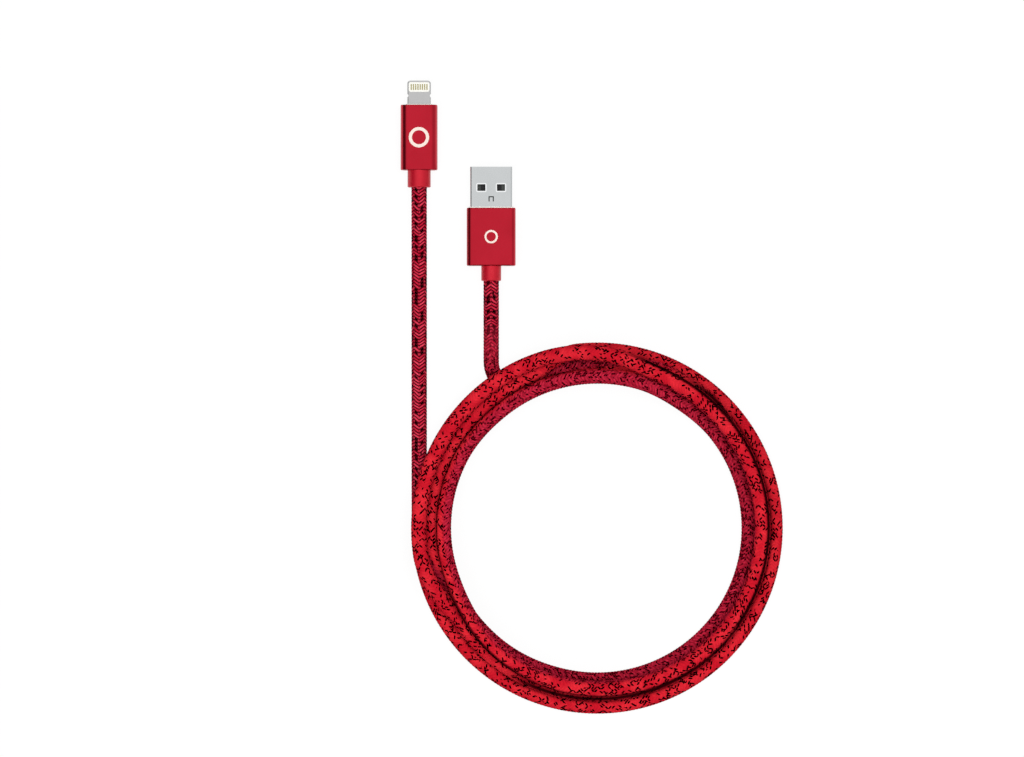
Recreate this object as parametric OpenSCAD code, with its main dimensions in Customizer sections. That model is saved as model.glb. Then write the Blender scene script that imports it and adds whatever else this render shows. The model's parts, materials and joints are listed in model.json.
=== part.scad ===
// Charging cable: a USB-A plug, a coil of braided cord and a slim eight-contact device plug.
// The origin is the middle of the coil on the desk. Both plugs point along +Y and lie flat on it.

/* [Cord and coil] */
// Diameter of the braided cord
cord_d = 4.4; // [3.8:0.1:4.8]
// Free way between turns that touch in use
turn_gap = 0.5; // [0.45:0.05:0.8]
// Clear diameter of the eye inside the coil
coil_eye_d = 82.6; // [70:1:110]
// Sideways distance between the two lanes of turns that lie on the desk
lane_step = 7.4; // [7.2:0.1:8.4]
// Tightest bend of the cord, in cord diameters
bend_ratio = 2; // [2:0.1:3]
// Straight cord between the coil and the device plug
device_lead_len = 97.4; // [60:1:140]
// Straight cord between the coil and the USB plug
usb_lead_len = 23; // [18:0.5:60]

/* [USB plug] */
// Width of the steel shell
usb_shell_w = 12; // [11.5:0.05:12.5]
// Height of the steel shell
usb_shell_t = 4.5; // [4.2:0.05:4.8]
// Sheet thickness of the shell
usb_shell_wall = 0.3; // [0.2:0.05:0.4]
// Outer corner radius of the shell
usb_shell_corner = 0.6; // [0.45:0.05:0.9]
// Length of the shell in front of the housing
usb_shell_reach = 11.75; // [10.5:0.25:13]
// Length of the shell inside the housing
usb_shell_tail = 6.5; // [5.5:0.25:7]
// Width of a latch window in the shell
usb_window_w = 2.3; // [1.8:0.1:2.6]
// Length of a latch window along the plug
usb_window_len = 1.9; // [1.5:0.1:2.3]
// Distance between the middles of the two windows
usb_window_pitch = 5.6; // [5:0.1:6.2]
// From the shell's front edge to the near edge of a window
usb_window_at = 5; // [4.4:0.1:5.6]
// Width of the lance punched in the shell behind the windows
usb_lance_w = 1.2; // [0.8:0.1:1.6]
// Thickness of the contact carrier
usb_tongue_t = 1.84; // [1.7:0.02:1.95]
// From the shell's front edge back to the contact carrier
usb_tongue_recess = 1; // [0.6:0.1:1.5]
// Width of a contact
usb_contact_w = 1; // [0.8:0.05:1.2]
// Thickness of a contact
usb_contact_t = 0.2; // [0.15:0.05:0.3]
// From the middle of the plug to each inner contact
usb_contact_inner = 1; // [0.9:0.05:1.1]
// From the middle of the plug to each outer contact
usb_contact_outer = 3.5; // [3.3:0.05:3.7]
// How far the power contacts stop behind the carrier's front
usb_contact_recess = 1; // [0.6:0.1:1.5]
// How much further back the two data contacts stop
usb_data_recess = 1; // [0.5:0.1:1.5]
// Length of the block that closes the back of the shell
usb_back_len = 5; // [4:0.25:5.25]
// Housing and core beside the shell, on each side
usb_side_cover = 1; // [0.9:0.05:2]
// Housing and core above and below the shell
usb_flat_cover = 1.55; // [1.3:0.05:2.5]
// Length of the aluminium housing
usb_housing_len = 16.5; // [15.5:0.25:22]
// Wall of the aluminium housing
usb_housing_wall = 0.6; // [0.4:0.05:0.75]
// Corner radius of the housing, seen from its end
usb_housing_corner = 1.7; // [1.2:0.1:2.2]
// Diameter of the strain relief
usb_relief_d = 5.7; // [5.6:0.05:6.2]
// Length of the strain relief behind the housing
usb_relief_len = 4.3; // [3:0.1:8]

/* [Device plug] */
// Width of the tab
tab_w = 6.7; // [6.4:0.05:7]
// Thickness of the tab
tab_t = 1.5; // [1.4:0.05:1.7]
// Length of the tab in front of the housing
tab_reach = 7; // [6.5:0.1:8]
// Length of the tab inside the housing
tab_tail = 5; // [4:0.25:5.5]
// Radius of the tab's front corners
tab_corner = 0.9; // [0.6:0.1:1.2]
// Rounding of the tab's long edges
tab_edge = 0.4; // [0.2:0.05:0.6]
// Steel between the tab's front edge and its contact window
window_front_rim = 0.46; // [0.4:0.02:0.7]
// Steel on each side of the contact window
window_side_rim = 0.38; // [0.3:0.02:0.6]
// Length of the contact window
window_len = 2.75; // [2.5:0.05:3.2]
// Corner radius of the contact window
window_corner = 0.6; // [0.4:0.05:0.9]
// Distance between the middles of neighbouring contacts
pad_pitch = 0.64; // [0.6:0.01:0.66]
// Width of a contact
pad_w = 0.36; // [0.3:0.02:0.44]
// Length of a contact
pad_len = 1.7; // [1.4:0.05:2]
// Thickness of a contact
pad_t = 0.15; // [0.1:0.01:0.2]
// Radius of the latch notch in each side of the tab
notch_r = 0.6; // [0.4:0.05:0.8]
// Depth of the latch notch
notch_depth = 0.28; // [0.2:0.02:0.34]
// From the housing to the middle of the latch notch
notch_at = 2.7; // [2:0.1:3]
// Housing and core beside the tab, on each side
device_side_cover = 1.95; // [1.7:0.05:3]
// Housing and core above and below the tab
device_flat_cover = 2.75; // [2.7:0.05:3.5]
// Length of the aluminium housing
device_housing_len = 18.6; // [17.5:0.25:24]
// Wall of the aluminium housing
device_housing_wall = 0.7; // [0.4:0.05:0.8]
// Corner radius of the housing, seen from its end
device_housing_corner = 2.45; // [1.8:0.05:2.8]
// Diameter of the strain relief
device_relief_d = 6.6; // [6:0.1:6.8]
// Length of the strain relief behind the housing
device_relief_len = 4.9; // [3:0.1:8]

/* [Inside the plugs] */
// Chamfer on both ends of each housing
end_chamfer = 0.25; // [0.1:0.05:0.4]
// Chamfer on the free end of each strain relief
relief_chamfer = 0.2; // [0.1:0.05:0.3]
// How far each core's collar stands out of its housing
collar_len = 0.3; // [0.15:0.05:0.6]
// Rim of that collar round the shell or the tab
collar_rim = 0.4; // [0.3:0.05:0.4]
// Clearance round each turned piece in its bore
bore_clear = 0.05; // [0.03:0.01:0.1]
// Diameter of one insulated wire
wire_d = 0.8; // [0.6:0.05:0.85]
// Distance between wires where they enter the jacket
wire_pitch = 0.92; // [0.9:0.01:0.96]
// Straight length at each end of a wire
wire_straight = 0.6; // [0.4:0.05:0.7]
// Sheet thickness of the crimp ferrules
ferrule_wall = 0.45; // [0.3:0.05:0.5]
// Length of the crimp ferrules
ferrule_len = 2.6; // [2:0.1:3]
// How deep each strain relief reaches into its core
relief_grip = 2; // [1.5:0.1:2.5]
// Width of the circuit board in the device plug
board_w = 6; // [5.4:0.1:6.4]
// Thickness of the circuit board
board_t = 0.8; // [0.6:0.1:1]
// Length of the circuit board
board_len = 5.6; // [5:0.1:6]
// Distance between the solder pads of the wires
board_pad_pitch = 1.3; // [1:0.05:1.5]
// Side of the controller chip
chip_side = 2.6; // [2:0.1:3]
// Height of the controller chip
chip_t = 0.7; // [0.5:0.05:0.8]
// Free way between the chip and its shield can
can_clear = 0.2; // [0.1:0.05:0.4]
// Sheet thickness of the shield can
can_wall = 0.15; // [0.1:0.05:0.25]

/* [Hidden] */
$fn = 48;

pad_count = 8;
wire_count = 4;
lead_sides = 8;
coil_sides = 6;
loop_rings = 24;
past = 1; // how far a cutter runs past the face that it opens

// Plug sizes that follow from the driving ones
usb_housing_w = usb_shell_w + 2 * usb_side_cover;
usb_housing_t = usb_shell_t + 2 * usb_flat_cover;
device_housing_w = tab_w + 2 * device_side_cover;
device_housing_t = tab_t + 2 * device_flat_cover;
tongue_top = usb_tongue_t + usb_shell_wall - usb_shell_t / 2;
usb_contact_x = [-usb_contact_outer, -usb_contact_inner, usb_contact_inner, usb_contact_outer];
device_window_w = tab_w - 2 * window_side_rim;
ferrule_r = cord_d / 2 + ferrule_wall;

// Lengths along each plug, from the housing's front face back
usb_jacket_front = usb_housing_len - relief_grip - ferrule_len;
device_board_end = tab_tail + board_len;
device_jacket_front = device_housing_len - relief_grip - ferrule_len;

// The cord rests on a flat of its faceted tube, at the same height in the leads and the coil
rest_z = cord_d / 2 * cos(180 / lead_sides);
coil_tube_r = rest_z / cos(180 / coil_sides);
layer = 2 * coil_tube_r + turn_gap;

// The two lanes on the desk, and the hidden bend that turns the USB lead into the inner one.
// A third turn lies in the valley between the lanes, and the fourth winds inwards on top of it.
inner_lane = coil_eye_d / 2 + cord_d / 2;
outer_lane = inner_lane + lane_step;
bend_r = bend_ratio * cord_d;
usb_x = -30.3;
bend_at = [usb_x + bend_r, sqrt(pow(inner_lane + bend_r, 2) - pow(usb_x + bend_r, 2))];
bend_turn = atan2(bend_at[1], bend_at[0]);
bend_steps = 7;
coil_turn = 3 * 360 + bend_turn + 180;
coil_steps = round(coil_turn * loop_rings / 360);
coil_end_straight = 1.4 * cord_d;

// The strand's way round the coil, as [degrees of travel from the bend,
// share of the step from the inner lane to the outer one, layers above the desk]
strand_path = [
    // from the inner lane up into the valley, and round in it
    [0, 0, 0], [8, 0.17, 0], [15, 0.21, 0], [22, 0.26, 0.16], [30, 0.35, 0.51],
    [37, 0.53, 0.82], [45, 0.67, 0.94], [64, 0.66, 0.92], [82, 0.5, 0.77], [258, 0.5, 0.77],
    // over the device lead and the USB lead, outermost
    [286, 1, 1.56], [316, 1, 1.27], [340, 1, 1.75], [354, 1, 1.75],
    // on top of the pile, winding inwards
    [366, 0.92, 1.82], [375, 0.83, 1.93], [392, 0.67, 2.02], [404, 0.57, 2], [430, 0.51, 1.93],
    [470, 0.46, 1.79], [540, 0.32, 1.73], [612, 0.19, 1.69],
    [652, 0.07, 1.58], [682, 0, 1.17], [706, 0, 1.75], [742, 0, 1.75],
    // down to the inner lane, and round in it
    [760, 0, 1.54], [778, -0.05, 0.65], [796, 0, 0], [981, 0, 0],
    // over the USB lead, then under the top turn to the outer lane, and round in it
    [1009, 0.5, 0.77], [1036, 0.5, 0.31], [1064, 0.5, 1.01], [1080, 0.5, 1.01],
    [1086, 0.66, 1], [1091, 0.86, 0.9], [1098, 1, 0.42], [1105, 1, 0], [1440, 1, 0],
];

// Free stretches of the cord, as [share of the straight length, share of the rise to the plug]
usb_lead_points = [[0, 0], [0.2, 0], [0.78, 1], [1, 1]];
device_lead_points = [
    [0, 0], [0.1, 0], [0.2, 0], [0.3, 0], [0.4, 0], [0.5, 0],
    [0.6, 0], [0.7, 0], [0.78, 0.04], [0.86, 0.4], [0.94, 0.95], [1, 1],
];

// One column of that table at a place between its rows, on a smooth line that never overshoots
function slope(i, c) =
    (strand_path[i + 1][c] - strand_path[i][c]) / (strand_path[i + 1][0] - strand_path[i][0]);
function tangent(i, c) =
    i == 0 || i == len(strand_path) - 1 ? 0 :
    let (a = slope(i - 1, c), b = slope(i, c)) a * b <= 0 ? 0 : 2 * a * b / (a + b);
function row_before(at, i = 0) = strand_path[i + 1][0] > at ? i : row_before(at, i + 1);
function on_path(at, c) =
    let (
        i = row_before(at), span = strand_path[i + 1][0] - strand_path[i][0],
        s = (at - strand_path[i][0]) / span, r = 1 - s
    )
    strand_path[i][c] * (1 + 2 * s) * r * r + tangent(i, c) * span * s * r * r
    + strand_path[i + 1][c] * s * s * (3 - 2 * s) - tangent(i + 1, c) * span * s * s * r;

// Radius and height of the strand after so many degrees of travel round the coil
function coil_r(at) = inner_lane + lane_step * on_path(at, 1);
function coil_z(at) = rest_z + layer * on_path(at, 2);
function coil_point(at) =
    let (a = bend_turn - at) [coil_r(at) * cos(a), coil_r(at) * sin(a), coil_z(at)];

coil_points = [
    [usb_x, bend_at[1] + coil_end_straight, rest_z],
    for (i = [0:bend_steps - 1])
        let (a = 180 + bend_turn * i / bend_steps)
        [bend_at[0] + bend_r * cos(a), bend_at[1] + bend_r * sin(a), rest_z],
    for (i = [0:coil_steps]) coil_point(coil_turn * i / coil_steps),
    [-outer_lane, coil_end_straight, rest_z],
];

// Places of the plugs: the front face of each housing, at mid height
usb_front_y = bend_at[1] + usb_lead_len + usb_relief_len + usb_housing_len;
device_front_y = device_lead_len + device_relief_len + device_housing_len;
usb_at = [usb_x, usb_front_y, usb_housing_t / 2];
device_at = [-outer_lane, device_front_y, device_housing_t / 2];

function lead_points(points, x, from_y, to_y, to_z) = [
    for (p = points) [x, from_y + p[0] * (to_y - from_y), rest_z + p[1] * (to_z - rest_z)],
];
usb_lead_route = lead_points(
    usb_lead_points, usb_x, bend_at[1] + coil_end_straight, bend_at[1] + usb_lead_len, usb_at[2]
);
device_lead_route = lead_points(
    device_lead_points, -outer_lane, coil_end_straight, device_lead_len, device_at[2]
);

// Least gap of the coil to itself, measured on points along its straight pieces
gap_samples = [
    for (i = [0:len(coil_points) - 2], s = [0:2])
        coil_points[i] + (coil_points[i + 1] - coil_points[i]) * s / 3
];
far_apart = 9; // samples nearer than this along the cord are neighbours
least_gap = min([
    for (i = [0:len(gap_samples) - 1 - far_apart], j = [i + far_apart:len(gap_samples) - 1])
        norm(gap_samples[i] - gap_samples[j])
]) - 2 * coil_tube_r;
function route_len(p) = len(p) < 2 ? 0 : sum([for (i = [0:len(p) - 2]) norm(p[i + 1] - p[i])]);
function sum(v, i = 0) = i >= len(v) ? 0 : v[i] + sum(v, i + 1);
cord_len = route_len(coil_points) + route_len(usb_lead_route) + route_len(device_lead_route);
echo(least_gap = least_gap, cord_len = cord_len);

// A tube swept along points, with its rings square to the way and a flat side down
function unit(v) = v / norm(v);
function heading(p, i) =
    let (last = len(p) - 1)
    i == 0 ? unit(p[1] - p[0]) :
    i == last ? unit(p[last] - p[last - 1]) :
    unit(unit(p[i + 1] - p[i]) + unit(p[i] - p[i - 1]));
function ring(p, i, r, sides) =
    let (t = heading(p, i), side = unit(cross(t, [0, 0, 1])), up = cross(side, t))
    let (spin = sides % 4 == 0 ? 180 / sides : 0)
    [for (k = [0:sides - 1]) p[i] + r * (cos(spin + 360 * k / sides) * side
        + sin(spin + 360 * k / sides) * up)];

module tube(points, r, sides) {
    last = (len(points) - 1) * sides;
    polyhedron(
        points = [for (i = [0:len(points) - 1]) each ring(points, i, r, sides)],
        faces = [
            for (k = [1:sides - 2]) [0, k + 1, k],
            for (i = [0:len(points) - 2], k = [0:sides - 1])
                let (a = i * sides + k, b = i * sides + (k + 1) % sides)
                each [[a, b, b + sides], [a, b + sides, a + sides]],
            for (k = [1:sides - 2]) [last, last + k, last + k + 1],
        ],
        convexity = 8
    );
}

// Outline with round corners, and a prism that runs along the plug between two places
module round_rect(w, h, r) {
    square([w - 2 * r, h], center = true);
    square([w, h - 2 * r], center = true);
    for (x = [-1, 1], y = [-1, 1])
        translate([x * (w / 2 - r), y * (h / 2 - r)]) circle(r);
}

module along(back, front) {
    translate([0, front, 0]) rotate([90, 0, 0]) linear_extrude(front - back) children();
}

module box_between(low, high) {
    translate(low) cube(high - low);
}

// A block with its two ends chamfered on all four sides
module chamfered_bar(w, t, len, corner, chamfer) {
    intersection() {
        along(-len, 0) round_rect(w, t, corner);
        translate([0, 0, -t]) linear_extrude(2 * t) chamfered_outline(w, len, chamfer);
        rotate([0, -90, 0]) translate([0, 0, -w]) linear_extrude(2 * w)
            chamfered_outline(t, len, chamfer);
    }
}

module chamfered_outline(w, len, c) {
    polygon([
        [-w / 2 + c, 0], [w / 2 - c, 0], [w / 2, -c], [w / 2, c - len],
        [w / 2 - c, -len], [c - w / 2, -len], [-w / 2, c - len], [-w / 2, -c],
    ]);
}

// A sleeve that is open at both ends, and the turned pieces on the cord
module housing(w, t, len, wall, corner) {
    difference() {
        chamfered_bar(w, t, len, corner, end_chamfer);
        along(-len - past, past) round_rect(w - 2 * wall, t - 2 * wall, corner - wall);
    }
}

module sleeve(back, front, outer_r, inner_r) {
    along(back, front) difference() {
        circle(outer_r);
        circle(inner_r);
    }
}

module relief(d, len, housing_len) {
    whole = relief_grip + len;
    translate([0, relief_grip - housing_len, 0]) rotate([90, 0, 0]) rotate_extrude() polygon([
        [cord_d / 2, 0], [d / 2, 0], [d / 2, whole - relief_chamfer],
        [d / 2 - relief_chamfer, whole], [cord_d / 2, whole],
    ]);
}

module ferrule(jacket_front) {
    sleeve(-jacket_front - ferrule_len, -jacket_front, ferrule_r, cord_d / 2);
}

module jacket(jacket_front, relief_end) {
    along(-relief_end, -jacket_front) circle(cord_d / 2);
}

// A moulded core that fills a housing, with a collar round what comes out of its front,
// bored for the ferrule and the strain relief
module core(w, t, len, wall, corner, collar_w, collar_t, relief_d, jacket_front) {
    difference() {
        union() {
            along(-len, 0) round_rect(w - 2 * wall, t - 2 * wall, corner - wall);
            along(-past, collar_len)
                round_rect(collar_w + 2 * collar_rim, collar_t + 2 * collar_rim, collar_rim);
        }
        along(-len - past, relief_grip - len) circle(relief_d / 2 + bore_clear);
        along(-len - past, -jacket_front) circle(ferrule_r + bore_clear);
        children();
    }
}

// A wire that runs straight out of a solder pad and into the jacket
module wire(i, pad_x, z, from_y, to_y) {
    jacket_x = (i - (wire_count - 1) / 2) * wire_pitch;
    tube([
        [pad_x, -from_y, z],
        [pad_x, -from_y - wire_straight, z],
        [jacket_x, wire_straight - to_y, z],
        [jacket_x, -to_y, z],
    ], wire_d / 2, lead_sides);
}

// USB plug, drawn with its housing's front face at the origin
module usb_inner_outline() {
    round_rect(
        usb_shell_w - 2 * usb_shell_wall,
        usb_shell_t - 2 * usb_shell_wall,
        usb_shell_corner - usb_shell_wall
    );
}

module usb_shell() {
    window_y = usb_shell_reach - usb_window_at - usb_window_len;
    lance_y = window_y / 2;
    color("gainsboro") difference() {
        along(-usb_shell_tail, usb_shell_reach)
            round_rect(usb_shell_w, usb_shell_t, usb_shell_corner);
        along(-usb_shell_tail - past, usb_shell_reach + past) usb_inner_outline();
        for (x = [-1, 1])
            translate([x * usb_window_pitch / 2 - usb_window_w / 2, window_y, -usb_shell_t])
                cube([usb_window_w, usb_window_len, 2 * usb_shell_t]);
        // Slot round three sides of the lance that locks the carrier
        translate([0, lance_y, usb_shell_t / 2]) {
            translate([-usb_lance_w / 2, usb_lance_w / 2, -past])
                cube([usb_lance_w, usb_shell_wall, 2 * past]);
            for (x = [-1, 1])
                translate([(x * usb_lance_w - usb_shell_wall) / 2, -usb_lance_w / 2, -past])
                    cube([usb_shell_wall, usb_lance_w + usb_shell_wall, 2 * past]);
        }
    }
}

module usb_contact_bar(i) {
    inner = i == 2 || i == 3;
    front = usb_shell_reach - usb_tongue_recess - usb_contact_recess - (inner ? usb_data_recess : 0);
    x = usb_contact_x[i - 1];
    box_between(
        [x - usb_contact_w / 2, -usb_shell_tail, tongue_top - usb_contact_t],
        [x + usb_contact_w / 2, front, tongue_top]
    );
}

module usb_contact(i) {
    color("gold") usb_contact_bar(i);
}

module usb_tongue() {
    color("darkslategray") difference() {
        along(-usb_shell_tail, usb_shell_reach - usb_tongue_recess) intersection() {
            usb_inner_outline();
            translate([-usb_shell_w, tongue_top - usb_shell_t])
                square([2 * usb_shell_w, usb_shell_t]);
        }
        for (i = [1:wire_count]) usb_contact_bar(i);
    }
}

module usb_back() {
    color("darkslategray") along(-usb_shell_tail, usb_back_len - usb_shell_tail) intersection() {
        usb_inner_outline();
        translate([-usb_shell_w, tongue_top]) square([2 * usb_shell_w, usb_shell_t]);
    }
}

module usb_core() {
    bay_w = 2 * usb_contact_outer + usb_contact_w + wire_d;
    bay_t = usb_shell_t - 4 * usb_shell_wall;
    color("ivory") core(
        usb_housing_w, usb_housing_t, usb_housing_len, usb_housing_wall,
        usb_housing_corner, usb_shell_w, usb_shell_t, usb_relief_d, usb_jacket_front
    ) {
        along(-usb_shell_tail, past) round_rect(usb_shell_w, usb_shell_t, usb_shell_corner);
        along(-usb_jacket_front, -usb_shell_tail + past) square([bay_w, bay_t], center = true);
    }
}

module usb_wire(i) {
    color(["red", "white", "green", "black"][i - 1]) wire(
        i - 1, usb_contact_x[i - 1], tongue_top - usb_contact_t / 2,
        usb_shell_tail, usb_jacket_front
    );
}

module usb_housing() {
    color("firebrick") housing(
        usb_housing_w, usb_housing_t, usb_housing_len, usb_housing_wall, usb_housing_corner
    );
}

// Device plug, drawn with its housing's front face at the origin
module device_window() {
    translate([0, tab_reach - window_front_rim - window_len / 2])
        round_rect(device_window_w, window_len, window_corner);
}

module device_pad_bar(i, side) {
    x = (i - (pad_count + 1) / 2) * pad_pitch;
    y = tab_reach - window_front_rim - window_len / 2;
    translate([x - pad_w / 2, y - pad_len / 2, side > 0 ? tab_t / 2 - pad_t : -tab_t / 2])
        cube([pad_w, pad_len, pad_t]);
}

module device_pad(i, side) {
    color("gold") device_pad_bar(i, side);
}

module device_tab() {
    color("silver") difference() {
        intersection() {
            along(-tab_tail, tab_reach) round_rect(tab_w, tab_t, tab_edge);
            translate([0, 0, -tab_t]) linear_extrude(2 * tab_t) {
                translate([-tab_w / 2, -tab_tail]) square([tab_w, tab_tail + tab_corner]);
                translate([0, tab_reach / 2]) round_rect(tab_w, tab_reach, tab_corner);
            }
        }
        translate([0, 0, -tab_t]) linear_extrude(2 * tab_t) device_window();
        for (x = [-1, 1])
            translate([x * (tab_w / 2 + notch_r - notch_depth), notch_at, -tab_t])
                cylinder(r = notch_r, h = 2 * tab_t);
    }
}

module device_insert() {
    color("white") difference() {
        translate([0, 0, -tab_t / 2]) linear_extrude(tab_t) device_window();
        for (i = [1:pad_count], side = [-1, 1]) device_pad_bar(i, side);
    }
}

module device_board() {
    color("darkgreen") box_between(
        [-board_w / 2, -device_board_end, -board_t / 2],
        [board_w / 2, -tab_tail, board_t / 2]
    );
}

module board_block(side, t) {
    translate([-side / 2, -tab_tail - (board_len + side) / 2, board_t / 2]) cube([side, side, t]);
}

module device_chip() {
    color("black") board_block(chip_side, chip_t);
}

module device_can() {
    color("silver") difference() {
        board_block(chip_side + 2 * (can_clear + can_wall), chip_t + can_clear + can_wall);
        board_block(chip_side + 2 * can_clear, chip_t + can_clear);
    }
}

module device_core() {
    bay_t = board_t + 2 * (chip_t + can_clear + can_wall) + wire_d / 4;
    color("ivory") core(
        device_housing_w, device_housing_t, device_housing_len, device_housing_wall,
        device_housing_corner, tab_w, tab_t, device_relief_d, device_jacket_front
    ) {
        along(-tab_tail, past) round_rect(tab_w, tab_t, tab_edge);
        along(-device_jacket_front, -tab_tail) square([board_w, bay_t], center = true);
    }
}

module device_wire(i) {
    color(["red", "white", "green", "black"][i - 1]) wire(
        i - 1, (i - (wire_count + 1) / 2) * board_pad_pitch, 0,
        device_board_end, device_jacket_front
    );
}

module device_housing() {
    color("firebrick") housing(
        device_housing_w, device_housing_t, device_housing_len,
        device_housing_wall, device_housing_corner
    );
}

// Cord
module cord(points, r, sides) {
    color("crimson") tube(points, r, sides);
}

module on_usb() {
    translate(usb_at) children();
}

module on_device() {
    translate(device_at) children();
}

on_usb() usb_shell();
on_usb() usb_tongue();
on_usb() usb_back();
for (i = [1:wire_count]) {
    on_usb() usb_contact(i);
    on_usb() usb_wire(i);
    on_device() device_wire(i);
}
on_usb() usb_core();
on_usb() color("silver") ferrule(usb_jacket_front);  // usb_ferrule
on_usb() color("crimson") jacket(usb_jacket_front, usb_housing_len + usb_relief_len);  // usb_jacket
on_usb() usb_housing();
on_usb() color("firebrick") relief(usb_relief_d, usb_relief_len, usb_housing_len);  // usb_relief
on_device() device_tab();
on_device() device_insert();
for (i = [1:pad_count]) {
    on_device() device_pad(i, 1);
    on_device() device_pad(i, -1);
}
on_device() device_board();
on_device() device_chip();
on_device() device_can();
on_device() device_core();
on_device() color("silver") ferrule(device_jacket_front);  // device_ferrule
on_device() color("crimson") jacket(device_jacket_front, device_housing_len + device_relief_len);  // device_jacket
on_device() device_housing();
on_device() color("firebrick") relief(device_relief_d, device_relief_len, device_housing_len);  // device_relief
cord(device_lead_route, cord_d / 2, lead_sides);  // lead_device
cord(coil_points, coil_tube_r, coil_sides);  // coil
cord(usb_lead_route, cord_d / 2, lead_sides);  // lead_usb
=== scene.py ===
"""Charging cable: finish of the plugs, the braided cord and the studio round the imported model.

Lengths are in metres in the row frame, and MM turns millimetres into them.
"""

import json
import math

import bpy
import numpy as np
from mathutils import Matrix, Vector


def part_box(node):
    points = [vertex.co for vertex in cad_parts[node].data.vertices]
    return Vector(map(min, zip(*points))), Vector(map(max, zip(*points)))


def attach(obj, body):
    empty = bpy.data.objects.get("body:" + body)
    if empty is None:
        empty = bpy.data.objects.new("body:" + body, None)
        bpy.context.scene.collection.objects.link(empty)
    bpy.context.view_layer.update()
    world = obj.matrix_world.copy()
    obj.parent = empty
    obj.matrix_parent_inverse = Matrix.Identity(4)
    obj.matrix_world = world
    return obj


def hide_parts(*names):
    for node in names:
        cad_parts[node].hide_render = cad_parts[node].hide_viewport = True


MM = 0.001

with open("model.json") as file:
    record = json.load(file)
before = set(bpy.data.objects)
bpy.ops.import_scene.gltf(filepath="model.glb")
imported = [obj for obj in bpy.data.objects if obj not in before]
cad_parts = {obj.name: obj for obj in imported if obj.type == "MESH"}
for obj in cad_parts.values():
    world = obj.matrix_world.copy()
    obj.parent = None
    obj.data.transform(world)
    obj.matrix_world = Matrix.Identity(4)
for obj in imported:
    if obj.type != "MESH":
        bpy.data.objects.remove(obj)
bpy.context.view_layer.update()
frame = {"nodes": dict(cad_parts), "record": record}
nodes = frame["nodes"]


def add_object(name, data):
    made = bpy.data.objects.new(name, data)
    bpy.context.scene.collection.objects.link(made)
    return made


# ---------------------------------------------------------------------------
# Sizes that the model and the scene share
# ---------------------------------------------------------------------------

CORD_D = 4.4 * MM
USB_X = -30.3 * MM
INNER_LANE = 43.5 * MM
LANE_STEP = 7.4 * MM
OUTER_LANE = INNER_LANE + LANE_STEP
BEND_R = 2 * CORD_D
LEAD_SIDES = 8
COIL_SIDES = 6
TURN_GAP = 0.5 * MM
REST_Z = CORD_D / 2 * math.cos(math.pi / LEAD_SIDES)
LAYER = 2 * REST_Z / math.cos(math.pi / COIL_SIDES) + TURN_GAP
COIL_END = 1.4 * CORD_D
USB_LEAD_LEN = 23 * MM
DEVICE_LEAD_LEN = 97.4 * MM

BEND_AT = (USB_X + BEND_R, math.sqrt((INNER_LANE + BEND_R) ** 2 - (USB_X + BEND_R) ** 2))
BEND_TURN = math.degrees(math.atan2(BEND_AT[1], BEND_AT[0]))
COIL_TURN = 3 * 360 + BEND_TURN + 180

# The strand's way round the coil: degrees of travel from the bend, share of the step from the
# inner lane to the outer one, and layers above the desk. It is the model's table, with some rows
# moved, mostly sideways, where the braid gives way and closes up.
STRAND_PATH = np.array([
    # from the inner lane up into the valley, and round in it
    [0, 0, 0], [8, 0.27, 0], [15, 0.39, 0], [22, 0.38, 0.14], [30, 0.4, 0.51],
    [37, 0.53, 0.82], [45, 0.67, 0.94], [64, 0.66, 0.92], [82, 0.5, 0.77], [258, 0.5, 0.77],
    # over the device lead and the USB lead, outermost
    [286, 1, 1.56], [316, 1, 1.27], [340, 1, 1.75], [354, 1, 1.75],
    # on top of the pile, winding inwards
    [366, 0.99, 1.82], [375, 0.96, 1.92], [384, 0.88, 1.98], [392, 0.75, 2.02],
    [404, 0.54, 2], [416, 0.48, 1.97], [430, 0.46, 1.93], [470, 0.45, 1.79],
    [540, 0.32, 1.73], [600, 0.2, 1.7], [634, 0.03, 1.63], [652, 0.05, 1.55],
    [682, 0.06, 1.17], [706, 0, 1.75], [742, 0, 1.75],
    # down to the inner lane, and round in it
    [760, 0, 1.54], [778, -0.05, 0.65], [796, 0, 0], [936, 0, 0], [960, 0.06, 0], [981, 0.13, 0],
    # over the USB lead, then under the top turn to the outer lane, and round in it
    [1009, 0.5, 0.77], [1036, 0.5, 0.31], [1064, 0.5, 1.01], [1080, 0.5, 1.01],
    [1086, 0.68, 1], [1091, 0.87, 0.9], [1098, 1, 0.42], [1105, 1, 0], [1440, 1, 0],
])

# Where each lead rises from the desk to its plug, as shares of its straight length
USB_RISE = (0.2, 0.78)
DEVICE_RISE = (0.75, 0.97)


def middle(node):
    low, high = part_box(node)
    return (low + high) / 2


USB_AXIS_Z = middle("usb_jacket").z
DEVICE_AXIS_Z = middle("device_jacket").z


# ---------------------------------------------------------------------------
# Route of the cord, from the USB plug's strain relief to the device plug's
# ---------------------------------------------------------------------------

USB_LEAD_POINTS = 40
BEND_POINTS = 40
COIL_POINTS = 2300
DEVICE_LEAD_POINTS = 180
INSIDE_RELIEF = 1.6 * MM


def smooth(t):
    t = np.clip(t, 0, 1)
    return t * t * (3 - 2 * t)


def step_over(at, span):
    return smooth((at - span[0]) / (span[1] - span[0]))


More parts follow.
